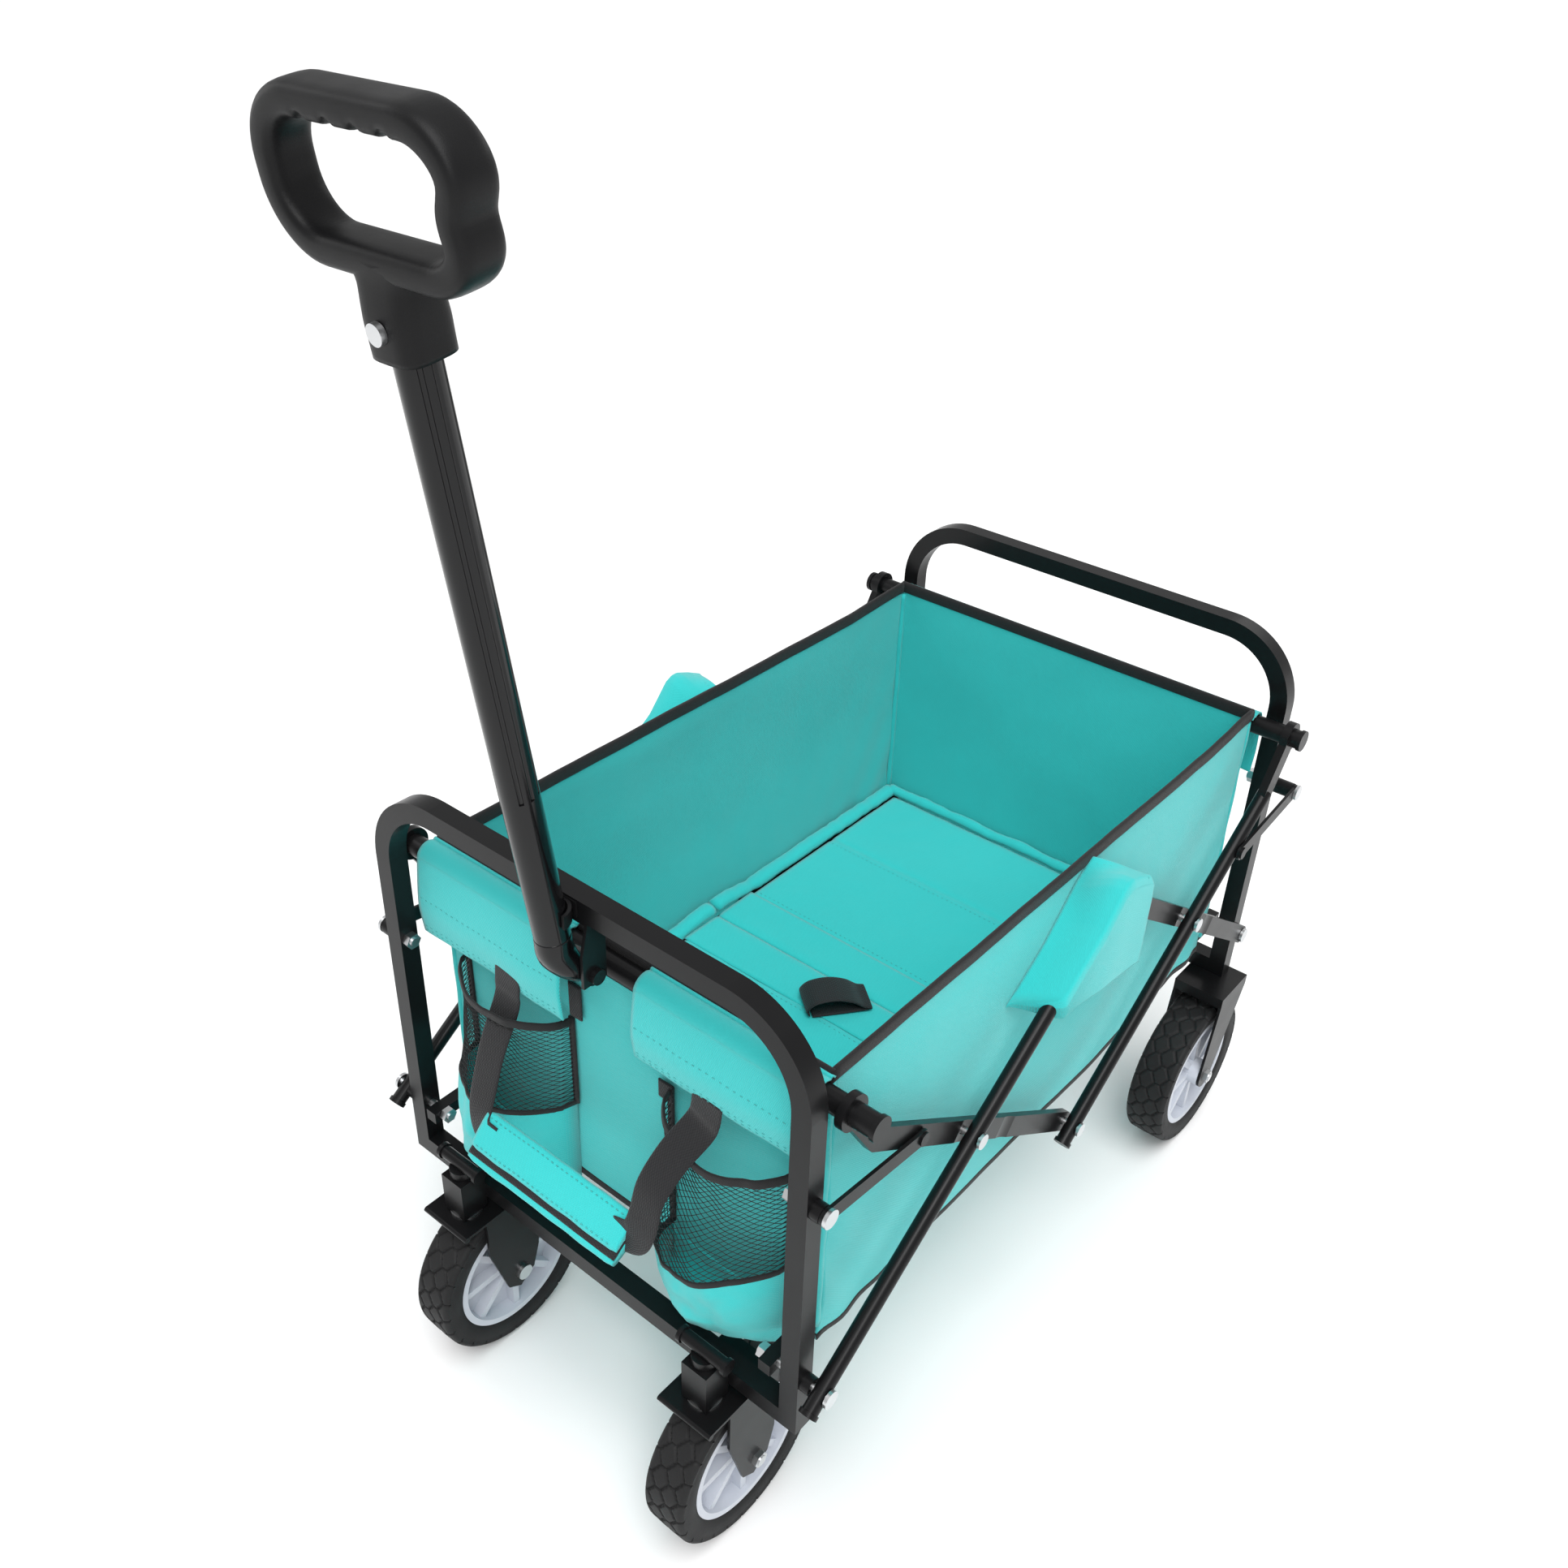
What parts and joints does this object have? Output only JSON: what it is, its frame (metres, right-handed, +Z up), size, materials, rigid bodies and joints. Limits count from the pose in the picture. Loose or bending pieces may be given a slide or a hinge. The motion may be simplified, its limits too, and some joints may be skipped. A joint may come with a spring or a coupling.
{
  "type": "folding beach cart",
  "caption": "Folding fabric beach cart with a double scissor frame, swivel front casters, fixed rear wheels, front pockets and a tilting pull handle.",
  "frame": {"origin": "on the floor under the middle of the whole cart's bounding box", "axes": "+Z up, +X to the cart's right hand side seen from the front in the picture's sense, -Y towards the pull handle and swivel casters, +Y towards the fixed rear wheels"},
  "size_m": [0.532, 0.917, 1.1694],
  "materials": {
    "frame_paint": "satin black powder coat",
    "gloss_paint": "gloss black",
    "zinc": "bright zinc plate",
    "black_plastic": "fine texture",
    "grey_plastic": "moulded",
    "tyre_rubber": "matte",
    "turquoise_fabric": "woven polyester",
    "black_webbing": "woven tape"
  },
  "bodies": {
    "front_frame": {"front_hoop": "frame_paint", "front_crossbar": "frame_paint", "caster_housings": "frame_paint", "swivel_washers": "zinc", "front_pivot_bolts": "zinc", "handle_bracket": "frame_paint", "handle_pin": "frame_paint", "hoop_clip": "black_plastic"},
    "caster_right": {"caster_yoke_right": "frame_paint", "caster_axle_right": "zinc"},
    "caster_left": {"caster_yoke_left": "frame_paint", "caster_axle_left": "zinc"},
    "front_wheel_right": {"tyre_front_right": "tyre_rubber", "hub_front_right": "grey_plastic"},
    "front_wheel_left": {"tyre_front_left": "tyre_rubber", "hub_front_left": "grey_plastic"},
    "handle": {"handle_tube": "gloss_paint", "handle_grip": "black_plastic", "grip_bolt": "zinc"},
    "bar_a_right": {"bar_a_right": "frame_paint", "rivets_a_right": "zinc"},
    "bar_a_left": {"bar_a_left": "frame_paint", "rivets_a_left": "zinc"},
    "bar_b_right": {"bar_b_right": "frame_paint"},
    "bar_b_left": {"bar_b_left": "frame_paint"},
    "bar_c_right": {"bar_c_right": "frame_paint", "rivets_c_right": "zinc"},
    "bar_c_left": {"bar_c_left": "frame_paint", "rivets_c_left": "zinc"},
    "bar_d_right": {"bar_d_right": "frame_paint"},
    "bar_d_left": {"bar_d_left": "frame_paint"},
    "stay_links_front": {"stay_links_front": "frame_paint"},
    "stay_links_rear": {"stay_links_rear": "frame_paint"},
    "front_rail": {"front_top_rail": "frame_paint", "panel_front": "turquoise_fabric", "pocket_right": "turquoise_fabric", "pocket_left": "turquoise_fabric", "carry_straps": "black_webbing", "carry_wrap": "turquoise_fabric", "side_wall_right": "turquoise_fabric", "side_wall_left": "turquoise_fabric", "rim_bindings": "black_webbing", "side_flaps": "turquoise_fabric"},
    "rear_rail": {"rear_top_rail": "frame_paint", "panel_rear": "turquoise_fabric"},
    "floor_rails_front": {"floor_rails_front": "frame_paint"},
    "floor_rails_rear": {"floor_rails_rear": "frame_paint"},
    "floor_front": {"floor_pad_front": "turquoise_fabric"},
    "floor_rear": {"floor_pad_rear": "turquoise_fabric", "floor_strap": "black_webbing", "floor_gusset": "turquoise_fabric"},
    "rear_frame": {"rear_hoop": "frame_paint", "rear_crossbar": "frame_paint", "rear_forks": "frame_paint", "rear_axles": "zinc", "rear_pivot_bolts": "zinc"},
    "rear_wheel_right": {"tyre_rear_right": "tyre_rubber", "hub_rear_right": "grey_plastic"},
    "rear_wheel_left": {"tyre_rear_left": "tyre_rubber", "hub_rear_left": "grey_plastic"}
  },
  "joints": [
    {"name": "fold", "type": "hinge", "parent": "front_frame", "child": "bar_a_right", "pos_m": [0.243, -0.33552, 0.26], "axis": [1, 0, 0], "range_deg": [0, 40.3], "deforming": ["side_wall_right", "side_wall_left", "rim_bindings", "side_flaps", "floor_gusset", "floor_strap"]},
    {"name": "bar_d_right_fold", "type": "hinge", "parent": "bar_a_right", "child": "bar_d_right", "pos_m": [0.243, 0.03948, 0.525], "axis": [1, 0, 0], "range_deg": [-80.61, 0]},
    {"name": "bar_b_right_fold", "type": "hinge", "parent": "bar_a_right", "child": "bar_b_right", "pos_m": [0.243, -0.14802, 0.3925], "axis": [1, 0, 0], "range_deg": [-80.61, 0]},
    {"name": "bar_c_right_fold", "type": "hinge", "parent": "bar_b_right", "child": "bar_c_right", "pos_m": [0.243, 0.03948, 0.26], "axis": [1, 0, 0], "range_deg": [0, 80.61]},
    {"name": "bar_a_left_fold", "type": "hinge", "parent": "front_frame", "child": "bar_a_left", "pos_m": [-0.243, -0.33552, 0.26], "axis": [1, 0, 0], "range_deg": [0, 40.31]},
    {"name": "bar_d_left_fold", "type": "hinge", "parent": "bar_a_left", "child": "bar_d_left", "pos_m": [-0.243, 0.03948, 0.525], "axis": [1, 0, 0], "range_deg": [-80.61, 0]},
    {"name": "bar_b_left_fold", "type": "hinge", "parent": "bar_a_left", "child": "bar_b_left", "pos_m": [-0.243, -0.14802, 0.3925], "axis": [1, 0, 0], "range_deg": [-80.61, 0]},
    {"name": "bar_c_left_fold", "type": "hinge", "parent": "bar_b_left", "child": "bar_c_left", "pos_m": [-0.243, 0.03948, 0.26], "axis": [1, 0, 0], "range_deg": [0, 80.61]},
    {"name": "rear_frame_fold", "type": "hinge", "parent": "bar_d_right", "child": "rear_frame", "pos_m": [0.239, 0.41448, 0.26], "axis": [1, 0, 0], "range_deg": [0, 40.31]},
    {"name": "front_rail_level", "type": "hinge", "parent": "bar_b_right", "child": "front_rail", "pos_m": [0.239, -0.30552, 0.532], "axis": [1, 0, 0], "range_deg": [0, 40.31]},
    {"name": "rear_rail_level", "type": "hinge", "parent": "bar_c_right", "child": "rear_rail", "pos_m": [0.251, 0.38448, 0.532], "axis": [1, 0, 0], "range_deg": [-40.31, 0]},
    {"name": "front_stay_swing", "type": "hinge", "parent": "front_frame", "child": "stay_links_front", "pos_m": [0.245, -0.33552, 0.456], "axis": [1, 0, 0], "range_deg": [0, 78.64]},
    {"name": "rear_stay_swing", "type": "hinge", "parent": "rear_frame", "child": "stay_links_rear", "pos_m": [0.26, 0.41448, 0.456], "axis": [1, 0, 0], "range_deg": [-78.64, 0]},
    {"name": "front_floor_rail_swing", "type": "hinge", "parent": "front_frame", "child": "floor_rails_front", "pos_m": [0.203, -0.33552, 0.26], "axis": [1, 0, 0], "range_deg": [0, 86.01]},
    {"name": "rear_floor_rail_swing", "type": "hinge", "parent": "rear_frame", "child": "floor_rails_rear", "pos_m": [0.203, 0.41448, 0.26], "axis": [1, 0, 0], "range_deg": [-86.01, 0]},
    {"name": "front_pad_swing", "type": "hinge", "parent": "front_rail", "child": "floor_front", "pos_m": [0, -0.28152, 0.266], "axis": [1, 0, 0], "range_deg": [0, 83.01]},
    {"name": "rear_pad_swing", "type": "hinge", "parent": "rear_rail", "child": "floor_rear", "pos_m": [0, 0.36048, 0.266], "axis": [1, 0, 0], "range_deg": [-83.01, 0]},
    {"name": "swivel_right", "type": "hinge", "parent": "front_frame", "child": "caster_right", "pos_m": [0.15, -0.35802, 0.2], "axis": [0, 0, 1], "continuous": true},
    {"name": "front_wheel_right_spin", "type": "hinge", "parent": "caster_right", "child": "front_wheel_right", "pos_m": [0.15, -0.32302, 0.089], "axis": [1, 0, 0], "continuous": true},
    {"name": "rear_wheel_right_spin", "type": "hinge", "parent": "rear_frame", "child": "rear_wheel_right", "pos_m": [0.226, 0.36948, 0.089], "axis": [1, 0, 0], "continuous": true},
    {"name": "swivel_left", "type": "hinge", "parent": "front_frame", "child": "caster_left", "pos_m": [-0.15, -0.35802, 0.2], "axis": [0, 0, 1], "continuous": true},
    {"name": "front_wheel_left_spin", "type": "hinge", "parent": "caster_left", "child": "front_wheel_left", "pos_m": [-0.15, -0.32302, 0.089], "axis": [1, 0, 0], "continuous": true},
    {"name": "rear_wheel_left_spin", "type": "hinge", "parent": "rear_frame", "child": "rear_wheel_left", "pos_m": [-0.226, 0.36948, 0.089], "axis": [1, 0, 0], "continuous": true},
    {"name": "handle_tilt", "type": "hinge", "parent": "front_frame", "child": "handle", "pos_m": [0, -0.33852, 0.552], "axis": [1, 0, 0], "range_deg": [0, 88]}
  ],
  "couplings": [
    {"joint": "bar_d_right_fold", "follows": "fold", "ratio": -2},
    {"joint": "bar_b_right_fold", "follows": "fold", "ratio": -2},
    {"joint": "bar_c_right_fold", "follows": "fold", "ratio": 2},
    {"joint": "bar_a_left_fold", "follows": "fold", "ratio": 1},
    {"joint": "bar_d_left_fold", "follows": "fold", "ratio": -2},
    {"joint": "bar_b_left_fold", "follows": "fold", "ratio": -2},
    {"joint": "bar_c_left_fold", "follows": "fold", "ratio": 2},
    {"joint": "rear_frame_fold", "follows": "fold", "ratio": 1},
    {"joint": "front_rail_level", "follows": "fold", "ratio": 1},
    {"joint": "rear_rail_level", "follows": "fold", "ratio": -1},
    {"joint": "front_stay_swing", "follows": "fold", "ratio": 1.951},
    {"joint": "rear_stay_swing", "follows": "fold", "ratio": -1.951},
    {"joint": "front_floor_rail_swing", "follows": "fold", "ratio": 2.134},
    {"joint": "rear_floor_rail_swing", "follows": "fold", "ratio": -2.134},
    {"joint": "front_pad_swing", "follows": "fold", "ratio": 2.0596},
    {"joint": "rear_pad_swing", "follows": "fold", "ratio": -2.0596}
  ]
}
